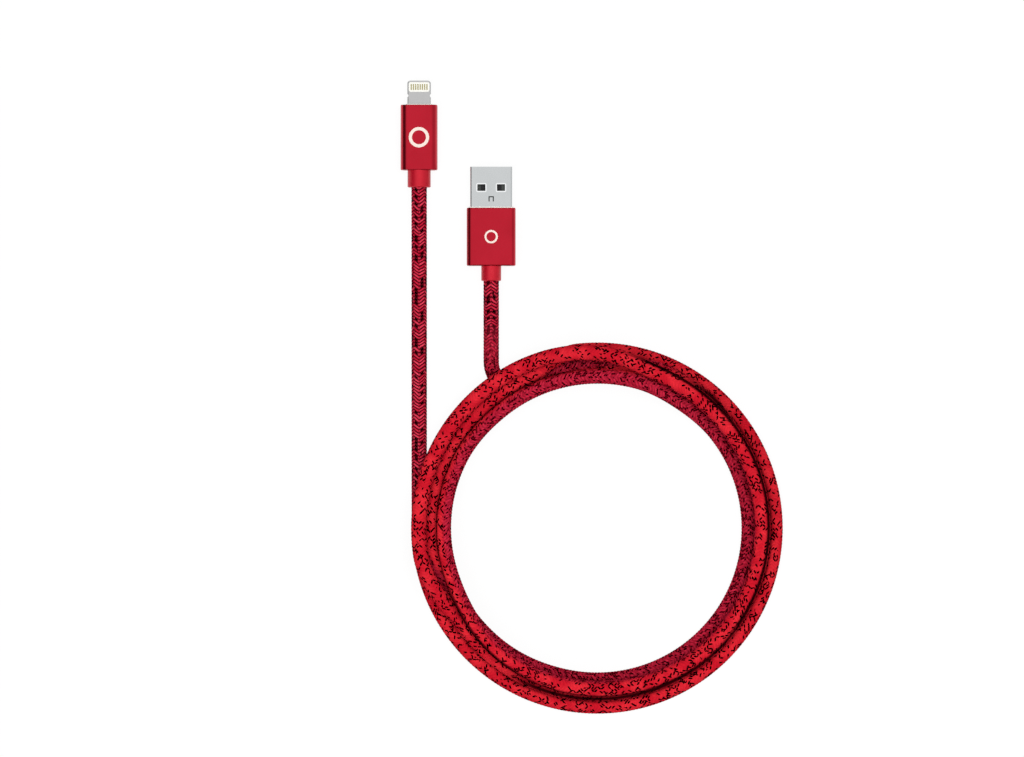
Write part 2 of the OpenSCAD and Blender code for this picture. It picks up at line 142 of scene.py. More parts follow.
def on_path(at, column):
    """One column of the strand's table between its rows, on a line that never overshoots."""
    place, value = STRAND_PATH[:, 0], STRAND_PATH[:, column]
    slope = np.diff(value) / np.diff(place)
    before, after = slope[:-1], slope[1:]
    monotone = before * after > 0
    tangent = np.zeros(len(value))
    tangent[1:-1][monotone] = 2 * (before * after)[monotone] / (before + after)[monotone]
    i = np.searchsorted(place, at, side="right") - 1
    span = place[i + 1] - place[i]
    s = (at - place[i]) / span
    r = 1 - s
    return (
        value[i] * (1 + 2 * s) * r * r
        + tangent[i] * span * s * r * r
        + value[i + 1] * s * s * (3 - 2 * s)
        - tangent[i + 1] * span * s * s * r
    )


def coil_points(at):
    """Points of the strand after `at` degrees of travel round the coil."""
    radius = INNER_LANE + LANE_STEP * on_path(at, 1)
    height = REST_Z + LAYER * on_path(at, 2)
    angle = np.radians(BEND_TURN - at)
    return np.stack([radius * np.cos(angle), radius * np.sin(angle), height], axis=1)


def lead_points(x, from_y, to_y, to_z, rise, count):
    """Points of a straight lead that rises from the desk to its plug's axis."""
    share = np.linspace(0, 1, count)
    y = from_y + share * (to_y - from_y)
    z = REST_Z + step_over(share, rise) * (to_z - REST_Z)
    return np.stack([np.full(count, x), y, z], axis=1)


def cord_route():
    """The whole centreline, with a short stretch inside each strain relief, and the degrees of
    travel at its points, which run on past both ends of the coil."""
    usb_end = BEND_AT[1] + USB_LEAD_LEN
    usb_lead = lead_points(
        USB_X, BEND_AT[1] + COIL_END, usb_end, USB_AXIS_Z, USB_RISE, USB_LEAD_POINTS
    )[::-1]
    turn = np.radians(np.linspace(180, 180 + BEND_TURN, BEND_POINTS)[:-1])
    bend = np.stack(
        [
            BEND_AT[0] + BEND_R * np.cos(turn),
            BEND_AT[1] + BEND_R * np.sin(turn),
            np.full(len(turn), REST_Z),
        ],
        axis=1,
    )
    turns = np.linspace(0, COIL_TURN, COIL_POINTS)
    coil = coil_points(turns)
    device_lead = lead_points(
        -OUTER_LANE, COIL_END, DEVICE_LEAD_LEN, DEVICE_AXIS_Z, DEVICE_RISE, DEVICE_LEAD_POINTS
    )
    first = [[USB_X, usb_end + INSIDE_RELIEF, USB_AXIS_Z]]
    last = [[-OUTER_LANE, DEVICE_LEAD_LEN + INSIDE_RELIEF, DEVICE_AXIS_Z]]
    points = np.concatenate([first, usb_lead, bend, coil, device_lead, last])

    along = lengths_along(points)
    start, end = len(usb_lead) + len(bend) + 1, len(points) - len(device_lead) - 2
    degrees_per_m = 180 / math.pi / OUTER_LANE
    travel = np.zeros(len(points))
    travel[start : end + 1] = turns
    travel[:start] = (along[:start] - along[start]) * degrees_per_m
    travel[end + 1 :] = COIL_TURN + (along[end + 1 :] - along[end]) * degrees_per_m
    return points, travel


def lengths_along(points):
    steps = np.linalg.norm(np.diff(points, axis=0), axis=1)
    return np.concatenate([[0], np.cumsum(steps)])


def spaced(points, step):
    """The same line with even spacing, and the length along it at each point."""
    along = lengths_along(points)
    at = np.linspace(0, along[-1], int(round(along[-1] / step)) + 1)
    return at, np.stack([np.interp(at, along, points[:, k]) for k in range(3)], axis=1)


# ---------------------------------------------------------------------------
# Braid: yarns that float over each other in columns of alternate slant
# ---------------------------------------------------------------------------

COLUMNS = 8
PER_COLUMN = 3
ROW_PITCH = 0.95 * MM
ROW_STATIONS = (0.0, 0.5)
ROW_HEIGHTS = (-1.0, 1.0)
BORDER_HEIGHT, FLOAT_HEIGHT = -0.6, 0.25  # at a column's border and inside it
SLANT_RISE = 1.15 * MM
BRAID_R = 2.2 * MM
BRAID_RELIEF = 0.07 * MM
BRIGHT_RELIEF = 0.35  # share of the relief that is left on the bright side
FLOOR_CLEAR = 0.01 * MM
ROUTE_STEP = 0.5 * MM
END_FADE = 1.5 * MM  # the rows level out over this much of each end

# Where the cord's darker side faces, as (degrees of travel, angle): 90 is up, 180 away from
# the coil's middle, 270 down and 360 towards the middle, and so on round
DARK_SIDE = np.array([
    [-90, 90], [0, 90], [60, 270], [380, 270], [420, 292], [560, 302], [654, 365],
    [740, 415], [985, 420], [1010, 630], [1345, 630], [1392, 810], [1500, 810],
])
DARK_EDGE = 1.1  # how sharply the dark side ends

# The cord's free stretches look different: where the USB lead ends, and the degrees of travel
# over which the look of each lead fades in
USB_LEAD_ENDS = -15
USB_LEAD_FADE = 20
DEVICE_LEAD_FADE = 12

# Sides of the cord, as (from travel, to travel, angle that the side faces, degrees to each side
# of it): those that take almost no shade from the strands beside them, and the flanks of the
# groove beside the top strand, where black shade is painted
OPEN_SIDES = (
    (0, 140, 45, 80), (226, 312, 150, 90), (255, 700, 360, 90), (706, 990, 120, 80),
    (975, 1100, 135, 100), (1112, 1318, 105, 60), (1304, 1400, 45, 80),
)
# Stretches where black shade is painted in the groove beside the top strand
GROOVE_SHADE_SIDES = (
    (50, 240, 130, 24), (388, 520, 152, 26), (492, 745, 164, 17), (582, 640, 156, 26),
    (1112, 1222, 360, 60), (1194, 1318, 360, 48),
)
SIDE_FADE = 14  # degrees of travel
OPEN_SOFT = 40  # degrees round the cord
GROOVE_SHADE_SOFT = 10


def on_side(travel, angle, stretches, soft):
    """1 on these stretches and sides of the cord, falling off softly round them."""
    shade = np.zeros(travel.shape)
    for start, end, facing, reach in stretches:
        there = smooth((travel - start) / SIDE_FADE) * smooth((end - travel) / SIDE_FADE)
        off = np.abs((np.degrees(angle)[None, :] - facing + 180) % 360 - 180)
        shade = np.maximum(shade, there * smooth((reach + soft - off) / (2 * soft)))
    return shade


def build_braid(route, route_travel):
    """The braid's points by ring and by place round it, the row of each ring, the column of each
    place, and the numbers at each point that its colours follow."""
    at, line = spaced(route, ROUTE_STEP)
    total = at[-1]
    tangent = np.gradient(line, axis=0)
    tangent /= np.linalg.norm(tangent, axis=1)[:, None]
    side = np.cross(tangent, [0, 0, 1])
    side /= np.linalg.norm(side, axis=1)[:, None]
    up = np.cross(side, tangent)

    rows = int(total / ROW_PITCH)
    pitch = total / rows
    stations = (np.arange(rows)[:, None] + np.array(ROW_STATIONS)).ravel()
    stations = np.append(stations, rows)
    station_height = np.append(np.tile(ROW_HEIGHTS, rows), ROW_HEIGHTS[0])

    around = COLUMNS * PER_COLUMN
    column = np.arange(around + 1) / PER_COLUMN
    # The slant climbs through even columns and falls through odd ones, with an apex on top
    zig = np.abs((column + 1) % 2 - 1)
    border = np.where(column % 1 == 0, BORDER_HEIGHT, FLOAT_HEIGHT)

    grid_at = np.repeat(stations[:, None] * pitch, len(column), axis=1)
    fade = smooth(np.minimum(grid_at, total - grid_at) / END_FADE)
    grid_at = np.clip(grid_at + (zig[None, :] - 0.5) * SLANT_RISE * fade, 0, total)

    def follow(values):
        return np.stack([np.interp(grid_at, at, values[:, k]) for k in range(3)], axis=-1)

    angle = column * (2 * math.pi / COLUMNS) + math.pi / 2
    travel = np.interp(grid_at, lengths_along(route), route_travel)
    faces_dark = np.interp(travel, DARK_SIDE[:, 0], DARK_SIDE[:, 1])
    dark = smooth(0.5 + DARK_EDGE * np.cos(angle[None, :] - np.radians(faces_dark)))
    relief = BRAID_RELIEF * (BRIGHT_RELIEF + (1 - BRIGHT_RELIEF) * dark)
    radius = BRAID_R + relief * (station_height[:, None] + border[None, :])
    points = (
        follow(line)
        + (radius * np.cos(angle))[..., None] * follow(side)
        + (radius * np.sin(angle))[..., None] * follow(up)
    )
    points[..., 2] = np.maximum(points[..., 2], FLOOR_CLEAR)

    free = smooth((USB_LEAD_ENDS - travel) / USB_LEAD_FADE)
    free = free + smooth((travel - COIL_TURN) / DEVICE_LEAD_FADE)
    shades = {
        "dark_side": dark * (1 + free),
        "open_side": on_side(travel, angle, OPEN_SIDES, OPEN_SOFT),
        "painted_groove_shade": on_side(travel, angle, GROOVE_SHADE_SIDES, GROOVE_SHADE_SOFT),
    }
    return points, stations, column, shades


def braid_mesh(points, stations, column, shades):
    """A closed tube whose faces are the yarn floats. UV is (column, row)."""
    rings, around = points.shape[0], points.shape[1] - 1
    verts = points[:, :around].reshape(-1, 3)
    ring, spot = np.meshgrid(np.arange(rings - 1), np.arange(around), indexing="ij")
    following = (spot + 1) % around
    quads = np.stack(
        [
            ring * around + spot,
            ring * around + following,
            (ring + 1) * around + following,
            (ring + 1) * around + spot,
        ],
        axis=-1,
    ).reshape(-1, 4)
    mesh = bpy.data.meshes.new("cord_braid")
    caps = [list(range(around))[::-1], list(range((rings - 1) * around, rings * around))]
    mesh.vertices.add(len(verts))
    mesh.vertices.foreach_set("co", verts.astype(np.float32).ravel())
    loops = np.concatenate([quads.ravel(), caps[0], caps[1]])
    cap_starts = [len(quads) * 4, len(quads) * 4 + around]
    starts = np.concatenate([np.arange(len(quads)) * 4, cap_starts])
    mesh.loops.add(len(loops))
    mesh.loops.foreach_set("vertex_index", loops.astype(np.int32))
    mesh.polygons.add(len(starts))
    mesh.polygons.foreach_set("loop_start", starts.astype(np.int32))
    mesh.update(calc_edges=True)
    mesh.polygons.foreach_set("use_smooth", np.ones(len(starts), bool))

    u0, u1 = column[spot], column[spot + 1]
    v0, v1 = stations[ring], stations[ring + 1]
    corners = [np.stack([u, v], -1) for u, v in ((u0, v0), (u1, v0), (u1, v1), (u0, v1))]
    uv = np.stack(corners, axis=2).reshape(-1, 2)
    uv = np.concatenate([uv, np.zeros((2 * around, 2))])
    layer = mesh.uv_layers.new(name="braid")
    layer.data.foreach_set("uv", uv.astype(np.float32).ravel())
    for name, values in shades.items():
        attribute = mesh.attributes.new(name, "FLOAT", "POINT")
        attribute.data.foreach_set("value", values[:, :around].ravel().astype(np.float32))
    mesh.validate()
    return mesh


# ---------------------------------------------------------------------------
# Materials
# ---------------------------------------------------------------------------

NOISE_ROUGHNESS = 0.55


class Shader:
    """A node material with short calls for its nodes."""

    def __init__(self, name):
        self.material = bpy.data.materials.new(name)
        self.material.use_nodes = True
        self.tree = self.material.node_tree
        self.surface = self.tree.nodes["Principled BSDF"]

    def node(self, kind, inputs=None, **settings):
        made = self.tree.nodes.new(kind)
        for key, value in settings.items():
            setattr(made, key, value)
        for key, value in (inputs or {}).items():
            self.put(made.inputs[key], value)
        return made

    def put(self, socket, value):
        if isinstance(value, bpy.types.NodeSocket):
            self.tree.links.new(value, socket)
        else:
            socket.default_value = value

    def math(self, operation, a, b=0.0, clamp=False):
        made = self.node("ShaderNodeMath", {0: a, 1: b}, operation=operation)
        made.use_clamp = clamp
        return made.outputs[0]

    def times(self, a, b):
        return self.math("MULTIPLY", a, b)

    def ramp(self, value, low, high, from_low=0.0, from_high=1.0):
        spans = {"From Min": from_low, "From Max": from_high, "To Min": low, "To Max": high}
        return self.node("ShaderNodeMapRange", {"Value": value, **spans}).outputs["Result"]

    def mix(self, share, a, b):
        made = self.node("ShaderNodeMix", data_type="RGBA")
        self.put(made.inputs["Factor"], share)
        self.put(made.inputs["A"], a)
        self.put(made.inputs["B"], b)
        return made.outputs["Result"]

    def noise(self, scale, detail, coordinates):
        inputs = {"Scale": scale, "Detail": detail, "Roughness": NOISE_ROUGHNESS}
        made = self.node("ShaderNodeTexNoise", {"Vector": coordinates, **inputs})
        return made.outputs["Fac"]

    def channel(self, shade, name):
        return self.node("ShaderNodeSeparateColor", {"Color": shade}).outputs[name]

    def attribute(self, name):
        return self.node("ShaderNodeAttribute", attribute_name=name).outputs["Fac"]

    def object_coordinates(self, stretch=(1, 1, 1)):
        place = self.node("ShaderNodeTexCoord").outputs["Object"]
        return self.node("ShaderNodeMapping", {"Vector": place, "Scale": stretch}).outputs["Vector"]

    def bump(self, height, strength, distance):
        inputs = {"Height": height, "Strength": strength, "Distance": distance}
        made = self.node("ShaderNodeBump", inputs)
        self.put(self.surface.inputs["Normal"], made.outputs["Normal"])

    def finish(self, **values):
        for key, value in values.items():
            self.put(self.surface.inputs[key.replace("_", " ")], value)
        return self.material


def color(red, green, blue):
    """Linear colour of an sRGB one, each from 0 to 255."""
    def linear(c):
        c /= 255
        return c / 12.92 if c <= 0.04045 else ((c + 0.055) / 1.055) ** 2.4

    return (linear(red), linear(green), linear(blue), 1.0)


# Yarns, as pairs where they vary between two colours
BRIGHT_YARN = color(222, 29, 46), color(247, 47, 60)
BRIGHT_DULLED = color(176, 14, 40)
WOUND_YARN = color(156, 12, 36), color(226, 46, 76)
LOOSE_YARN = color(208, 26, 58), color(250, 74, 100)
BETWEEN_FILAMENTS = color(120, 4, 18)
# Painted shade in the crease where yarns meet
CREASE_PAINTED_SHADE = color(56, 0, 5)
BLACK_YARN = color(2, 0, 1)
SHADE_BETWEEN_STRANDS = color(16, 0, 3)
# Painted shade: the black of the groove beside the top strand
GROOVE_PAINTED_SHADE = color(8, 0, 3)

FILAMENTS = 9.0  # to a row
STITCHES = (3.0, 1.6)  # to a column and to a row
DULLED = 0.25  # the most that a bright yarn turns to its dulled colour
WANDER = 0.22  # of a row, how far the yarns stray
ROW_LINE = (0.16, 0.36)  # of a row, from its middle: where the line starts and where it is full
COLUMN_LINE = (0.36, 0.5)  # the same of a column
COLUMN_LINE_SHARE = 0.6
CLUMPS = (0.45, 0.25)  # patches with more or less black, to a column and to a row
CLUMP_ODDS = (0.65, 1.35)  # what these patches do to the odds
DASH_ODDS, EXTRA_DASH_ODDS, DOT_ODDS, STROKE_ODDS = 0.34, 0.11, 0.34, 0.34
DASH_HALF = (0.46, 0.33)  # of its cell, along the dash and across it
DOT_HALF = (0.42, 0.38)
STROKE_HALF = (0.3, 0.29)
DASH_LEAN = 0.8  # of a row, over half a column
# How strongly shade is painted in the crease where yarns meet, by side
CREASE_SHADE_STRENGTH = (0.14, 0.4, 0.96)  # of the meeting line on the bright, wound and loose sides
NEAR_SHADE, FAR_SHADE = 1.8 * MM, 6 * MM  # how far away a strand still shades
DARK_KEEPS, OPEN_KEEPS = 0.85, 0.95  # light that the shade leaves on these sides
# How fully the painted shade blackens the groove beside the top strand
GROOVE_SHADE_DEPTH = 0.96
YARN_BUMP = 0.12 * MM
YARN_ROUGHNESS = (0.7, 0.9)

# Seeds of the braid's random draws
YARN_SEED, STITCH_SEED, DASH_SEED, EXTRA_DASH_SEED, STROKE_SEED = 1.0, 3.0, 5.0, 7.0, 9.0


def braid_material():
    """UV is (column, row). The attribute dark_side is 0 on the cord's bright side, 1 on its
    dark side where it is wound, and 2 there where it is free."""
    s = Shader("braided_nylon")
    uv = s.node("ShaderNodeUVMap", uv_map="braid").outputs["UV"]
    split = s.node("ShaderNodeSeparateXYZ", {"Vector": uv})
    across, row = split.outputs["X"], split.outputs["Y"]
    stray = s.noise(260.0, 2.0, s.object_coordinates())
    row = s.math("ADD", row, s.ramp(stray, -WANDER, WANDER, 0.3, 0.7))
    side = s.attribute("dark_side")
    dark, free = s.ramp(side, 0.0, 1.0), s.ramp(side, 0.0, 1.0, 1.0, 2.0)

    def centred(value):
        """The value's place in its cell, from -0.5 to 0.5."""
        return s.math("SUBTRACT", s.math("FRACT", value), 0.5)

    def off_middle(value):
        return s.math("ABSOLUTE", centred(value))

    def cell_random(u, v, seed):
        inputs = {"X": s.math("FLOOR", u), "Y": s.math("FLOOR", v), "Z": seed}
        cell = s.node("ShaderNodeCombineXYZ", inputs).outputs["Vector"]
        return s.node("ShaderNodeTexWhiteNoise", {"Vector": cell}, noise_dimensions="3D").outputs

    def by_side(bright, wound, loose):
        """A number for each of the three kinds of side."""
        return s.math("ADD", s.ramp(dark, bright, wound), s.times(free, loose - wound))

    # Yarns: bright red on one side, crimson with fine rows or bold strokes on the other
    tone = s.channel(cell_random(across, row, YARN_SEED)["Color"], "Red")
    filaments = s.node("ShaderNodeCombineXYZ", {"X": across, "Y": s.times(row, FILAMENTS)})
    fibre = s.noise(1.6, 2.0, filaments.outputs["Vector"])
    patch = s.ramp(s.noise(190.0, 1.5, s.object_coordinates()), 0.0, 1.0, 0.4, 0.6)
    bright = s.mix(s.times(tone, DULLED), s.mix(patch, *BRIGHT_YARN), BRIGHT_DULLED)
    fine_u, fine_v = s.times(across, STITCHES[0]), s.times(row, STITCHES[1])
    stitch = cell_random(fine_u, fine_v, STITCH_SEED)["Value"]
    yarn = s.mix(dark, bright, s.mix(free, s.mix(stitch, *WOUND_YARN), s.mix(tone, *LOOSE_YARN)))
    yarn = s.mix(s.ramp(fibre, 0.0, 0.3, 0.35, 0.75), yarn, BETWEEN_FILAMENTS)

    # Two yarns of a column meet in a crease, where shade is painted as a dark line
    gap = s.ramp(off_middle(row), 0.0, 1.0, *ROW_LINE)
    meet = s.ramp(off_middle(across), 0.0, 1.0, *COLUMN_LINE)
    line = s.math("MAXIMUM", gap, s.times(meet, COLUMN_LINE_SHARE))
    yarn = s.mix(s.times(line, by_side(*CREASE_SHADE_STRENGTH)), yarn, CREASE_PAINTED_SHADE)

    # Black yarns surface in places: thin steep dashes on the bright side, fine dots on the
    # wound one and short strokes on the free one
    clump_u, clump_v = s.times(across, CLUMPS[0]), s.times(row, CLUMPS[1])
    clump = s.node("ShaderNodeCombineXYZ", {"X": clump_u, "Y": clump_v})
    cluster = s.ramp(s.noise(1.0, 1.0, clump.outputs["Vector"]), *CLUMP_ODDS, 0.38, 0.64)

    def within(off_u, off_v, half):
        return s.times(s.math("LESS_THAN", off_u, half[0]), s.math("LESS_THAN", off_v, half[1]))

    def chosen(cell, odds):
        return s.math("LESS_THAN", cell["Value"], s.times(cluster, odds))

    def flecks(u, v, half, odds, seed):
        """1 in a share of the cells, within these distances from the middle of the cell."""
        inside = within(off_middle(u), off_middle(v), half)
        return s.times(chosen(cell_random(u, v, seed), odds), inside)

    def dashes(u, v, odds, seed):
        """Thin strokes in a share of the cells, that lean one way or the other."""
        cell = cell_random(u, v, seed)
        toss = s.math("GREATER_THAN", s.channel(cell["Color"], "Green"), 0.5)
        local_u = centred(u)
        leant = s.times(s.ramp(toss, -DASH_LEAN, DASH_LEAN), local_u)
        off = s.math("ABSOLUTE", s.math("SUBTRACT", centred(v), leant))
        inside = within(s.math("ABSOLUTE", local_u), off, DASH_HALF)
        return s.times(chosen(cell, odds), inside)

    half_u = s.times(across, 2.0)
    slant = s.times(s.math("PINGPONG", across, 1.0), SLANT_RISE / ROW_PITCH)
    level = s.math("ADD", row, slant)
    next_u, next_level = s.math("ADD", half_u, 0.5), s.math("ADD", level, 0.5)
    dash = s.math(
        "MAXIMUM",
        dashes(half_u, level, DASH_ODDS, DASH_SEED),
        dashes(next_u, next_level, EXTRA_DASH_ODDS, EXTRA_DASH_SEED),
    )
    dots = flecks(fine_u, fine_v, DOT_HALF, DOT_ODDS, STITCH_SEED)
    strokes = flecks(across, row, STROKE_HALF, STROKE_ODDS, STROKE_SEED)
    black = s.math(
        "ADD",
        s.times(dash, s.ramp(dark, 1.0, 0.0, 0.4, 0.8)),
        s.times(s.mix(free, dots, strokes), s.ramp(dark, 0.0, 1.0, 0.3, 0.7)),
        clamp=True,
    )
    yarn = s.mix(black, yarn, BLACK_YARN)

    # Painted shade between strands that lie close, less of it on the dark side and almost none on
    # the open sides, and black shade painted in the groove beside the top strand
    near = s.node("ShaderNodeAmbientOcclusion", {"Distance": NEAR_SHADE}, samples=6)
    far = s.node("ShaderNodeAmbientOcclusion", {"Distance": FAR_SHADE}, samples=4)
    lit = s.times(
        s.ramp(near.outputs["AO"], 0.0, 1.0, 0.5, 0.85),
        s.ramp(far.outputs["AO"], 0.35, 1.0, 0.3, 0.72),
    )
    open_keeps = s.times(s.attribute("open_side"), OPEN_KEEPS)
    least = s.math("MAXIMUM", s.times(dark, DARK_KEEPS), open_keeps)
    yarn = s.mix(s.math("MAXIMUM", lit, least), SHADE_BETWEEN_STRANDS, yarn)
    yarn = s.mix(s.times(s.attribute("painted_groove_shade"), GROOVE_SHADE_DEPTH), yarn, GROOVE_PAINTED_SHADE)

    s.bump(s.math("ADD", fibre, s.times(line, -0.8)), s.ramp(dark, 0.15, 0.4), YARN_BUMP)
    return s.finish(Base_Color=yarn, Roughness=s.ramp(fibre, *YARN_ROUGHNESS), IOR=1.0)


# How the grain of worked metal stretches along the plugs
DRAWN_GRAIN = (1.0, 0.02, 1.0)
BRUSHED_GRAIN = (1.0, 0.03, 1.0)


def anodised_material(name, roughness, low, high, metallic, coat):
    s = Shader(name)
    blast = s.noise(9000.0, 2.0, s.object_coordinates())
    drawn = s.noise(2500.0, 3.0, s.object_coordinates(DRAWN_GRAIN))
    cloud = s.noise(120.0, 2.0, s.object_coordinates())
    tint = s.mix(s.ramp(cloud, 0.0, 1.0, 0.35, 0.65), color(*low), color(*high))
    s.bump(s.math("ADD", blast, s.times(drawn, 0.6)), 0.1, 0.02 * MM)
    return s.finish(
        Base_Color=tint,
        Metallic=metallic,
        Roughness=s.ramp(drawn, roughness - 0.04, roughness + 0.04, 0.3, 0.7),
        Coat_Weight=coat,
        Coat_Roughness=0.15,
        Coat_IOR=1.35,
    )


def metal_material(name, low, high, roughness):
    s = Shader(name)
    brush = s.noise(3000.0, 3.0, s.object_coordinates(BRUSHED_GRAIN))
    cloud = s.noise(200.0, 2.0, s.object_coordinates())
    s.bump(brush, 0.08, 0.01 * MM)
    return s.finish(
        Base_Color=s.mix(cloud, color(*low), color(*high)),
        Metallic=1.0,
        Roughness=s.ramp(brush, roughness - 0.05, roughness + 0.07),
    )


def plastic_material(name, low, high, roughness):
    s = Shader(name)
    fine = s.noise(7000.0, 2.0, s.object_coordinates())
    cloud = s.noise(300.0, 2.0, s.object_coordinates())
    s.bump(fine, 0.1, 0.01 * MM)
    return s.finish(
        Base_Color=s.mix(cloud, color(*low), color(*high)),
        Roughness=s.ramp(fine, roughness - 0.06, roughness + 0.08),
    )


def board_material():
    s = Shader("solder_mask")
    tracks = s.node("ShaderNodeTexBrick", {"Vector": s.object_coordinates(), "Scale": 900.0})
    mask = s.mix(tracks.outputs["Fac"], color(12, 78, 40), color(30, 110, 60))
    return s.finish(Base_Color=mask, Roughness=0.35)


# The material's name, its two colours and its roughness, by what it is for
METALS = {
    "plated_steel": ("plated_steel", (201, 204, 205), (209, 212, 213), 0.26),
    "tab_steel": ("tab_steel", (192, 192, 192), (200, 200, 200), 0.3),
    "tinned": ("tinned_steel", (186, 186, 186), (196, 196, 196), 0.3),
    "gold": ("gold_plating", (176, 168, 118), (186, 180, 132), 0.32),
    # The USB contacts: a dark grey that paints the shade they lie in under the shell's windows
    "shaded_spring": ("spring_painted_shade", (92, 96, 94), (112, 116, 112), 0.45),
    # The turned window edges: near-white, a painted highlight on a slightly proud band
    "punched_edge_highlight": ("punched_edge_highlight", (246, 248, 249), (252, 253, 254), 0.3),
}
PLASTICS = {
    "white_plastic": ("white_plastic", (248, 247, 239), (254, 253, 246), 0.35),
    "black_plastic": ("black_plastic", (20, 20, 22), (32, 32, 35), 0.45),
    "red_wire": ("red_insulation", (170, 20, 20), (190, 30, 28), 0.4),
    "white_wire": ("white_insulation", (225, 225, 222), (238, 238, 235), 0.4),
    "green_wire": ("green_insulation", (20, 110, 50), (30, 130, 60), 0.4),
    "black_wire": ("black_insulation", (18, 18, 18), (30, 30, 30), 0.4),
    "etched": ("etched_mark", (246, 226, 214), (255, 240, 230), 0.6),
}

materials = {
    "red_aluminium": anodised_material(
        "anodised_aluminium", 0.22, (182, 8, 36), (190, 14, 41), metallic=1.0, coat=0.6
    ),
    "red_collar": anodised_material(
        "anodised_collar", 0.42, (199, 9, 38), (206, 15, 43), metallic=0.4, coat=0.15
    ),
    "board": board_material(),
    "braid": braid_material(),
}
materials.update({look: metal_material(*values) for look, values in METALS.items()})
materials.update({look: plastic_material(*values) for look, values in PLASTICS.items()})


def dress_nodes():
    """Every CAD node takes the material of its slot in the record, but for a few that have a
    look of their own."""
    for part in frame["record"]["subparts"]:
        mesh = nodes[part["node"]].data
        mesh.materials.clear()
        look = part["material_slot"]
        # The USB contacts take a dark grey, painted shade for the windows they lie under
        if part["node"].startswith("usb_contact"):
            look = "shaded_spring"
        elif part["node"] == "device_tab":
            look = "tab_steel"
        elif part["node"].endswith("_relief"):
            look = "red_collar"
        mesh.materials.append(materials[look])


BACK_DEPTH = 0.1 * MM
FACES_BACK = -0.9  # the most that a normal's Y may be on a face that looks back


def close_back(core):
    """The back face of a plug's inner moulding is painted as if the red housing closed over it."""
    mesh = nodes[core].data
    mesh.materials.append(materials["red_collar"])
    back = min(vertex.co.y for vertex in mesh.vertices) + BACK_DEPTH
    for face in mesh.polygons:
        if face.normal.y < FACES_BACK and face.center.y < back:
            face.material_index = 1


dress_nodes()
close_back("usb_core")
close_back("device_core")

# ---------------------------------------------------------------------------
# Thin details on the plugs: turned edges of the latch windows, slightly proud with a painted
# highlight, plain ring marks
# ---------------------------------------------------------------------------

WINDOW_W = 2.3 * MM
WINDOW_LEN = 1.9 * MM
WINDOW_PITCH = 5.6 * MM
WINDOW_AT = 5 * MM
WINDOW_CORNER = 0.12 * MM
CORNER_STEPS = 8
EDGE_W = 0.34 * MM
EDGE_PROUD = 0.03 * MM

# A band's soft edge: the share of the width it slopes over, and of the height it starts from
SOFT_WIDTH = 0.2
SOFT_HEIGHT = 0.5

DEVICE_MARK_R, DEVICE_MARK_LINE = 2.9 * MM, 0.9 * MM
USB_MARK_R, USB_MARK_LINE = 1.9 * MM, 0.55 * MM
MARK_POINTS = 72
MARK_PROUD = 0.02 * MM


def rounded_loop(half_x, half_y, corner):
    """Points round a rectangle with round corners, anticlockwise about the origin."""
    loop = []
    for turn, (sx, sy) in enumerate(((1, 1), (-1, 1), (-1, -1), (1, -1))):
        for step in range(CORNER_STEPS + 1):
            angle = math.pi / 2 * (turn + step / CORNER_STEPS)
            x = sx * (half_x - corner) + corner * math.cos(angle)
            y = sy * (half_y - corner) + corner * math.sin(angle)
            loop.append((x, y))
    return loop


def between(loop, other, share):
    """The loop moved towards another of as many points by this share of the way."""
    keep = 1 - share
    return [(keep * x + share * u, keep * y + share * v) for (x, y), (u, v) in zip(loop, other)]


def band(name, center, inner, outer, top, proud):
    """A thin flat band between two loops of as many points, proud of top, with soft edges."""
    levels = (
        (outer, top - proud),
        (outer, top + proud * SOFT_HEIGHT),
        (between(outer, inner, SOFT_WIDTH), top + proud),
        (between(inner, outer, SOFT_WIDTH), top + proud),
        (inner, top + proud * SOFT_HEIGHT),
        (inner, top - proud),
    )
    rows = [[(x, y, z) for x, y in loop] for loop, z in levels]
    count = len(outer)
    verts = [(center[0] + x, center[1] + y, z) for row in rows for x, y, z in row]
    faces = []
    for a in range(len(rows)):
        b = (a + 1) % len(rows)
        for k in range(count):
            n = (k + 1) % count
            faces.append((a * count + k, a * count + n, b * count + n, b * count + k))
    mesh = bpy.data.meshes.new(name)
    mesh.from_pydata(verts, [], faces)
    return add_object(name, mesh)


def window_edges():
    low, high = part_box("usb_shell")
    inner = rounded_loop(WINDOW_W / 2, WINDOW_LEN / 2, WINDOW_CORNER)
    outer = rounded_loop(WINDOW_W / 2 + EDGE_W, WINDOW_LEN / 2 + EDGE_W, WINDOW_CORNER + EDGE_W)
    for number, side in ((1, -1), (2, 1)):
        center = (USB_X + side * WINDOW_PITCH / 2, high.y - WINDOW_AT - WINDOW_LEN / 2)
        piece = band(f"usb_window_edge_{number}", center, inner, outer, high.z, EDGE_PROUD)
        # Near-white metal: a painted highlight on the turned edge
        piece.data.materials.append(materials["punched_edge_highlight"])
        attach(piece, "root")


def ring_mark(name, node, radius, line):
    low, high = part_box(node)
    center = ((low.x + high.x) / 2, (low.y + high.y) / 2)
    turns = [2 * math.pi * k / MARK_POINTS for k in range(MARK_POINTS)]
    inner = [((radius - line) * math.cos(a), (radius - line) * math.sin(a)) for a in turns]
    outer = [(radius * math.cos(a), radius * math.sin(a)) for a in turns]
    piece = band(name, center, inner, outer, high.z, MARK_PROUD)
    piece.data.materials.append(materials["etched"])
    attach(piece, "root")


window_edges()
ring_mark("device_mark", "device_housing", DEVICE_MARK_R, DEVICE_MARK_LINE)
ring_mark("usb_mark", "usb_housing", USB_MARK_R, USB_MARK_LINE)

# ---------------------------------------------------------------------------
# The cord
# ---------------------------------------------------------------------------

route, route_travel = cord_route()
braid = add_object("cord_braid", braid_mesh(*build_braid(route, route_travel)))
braid.data.materials.append(materials["braid"])
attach(braid, "root")
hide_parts("lead_device", "coil", "lead_usb")

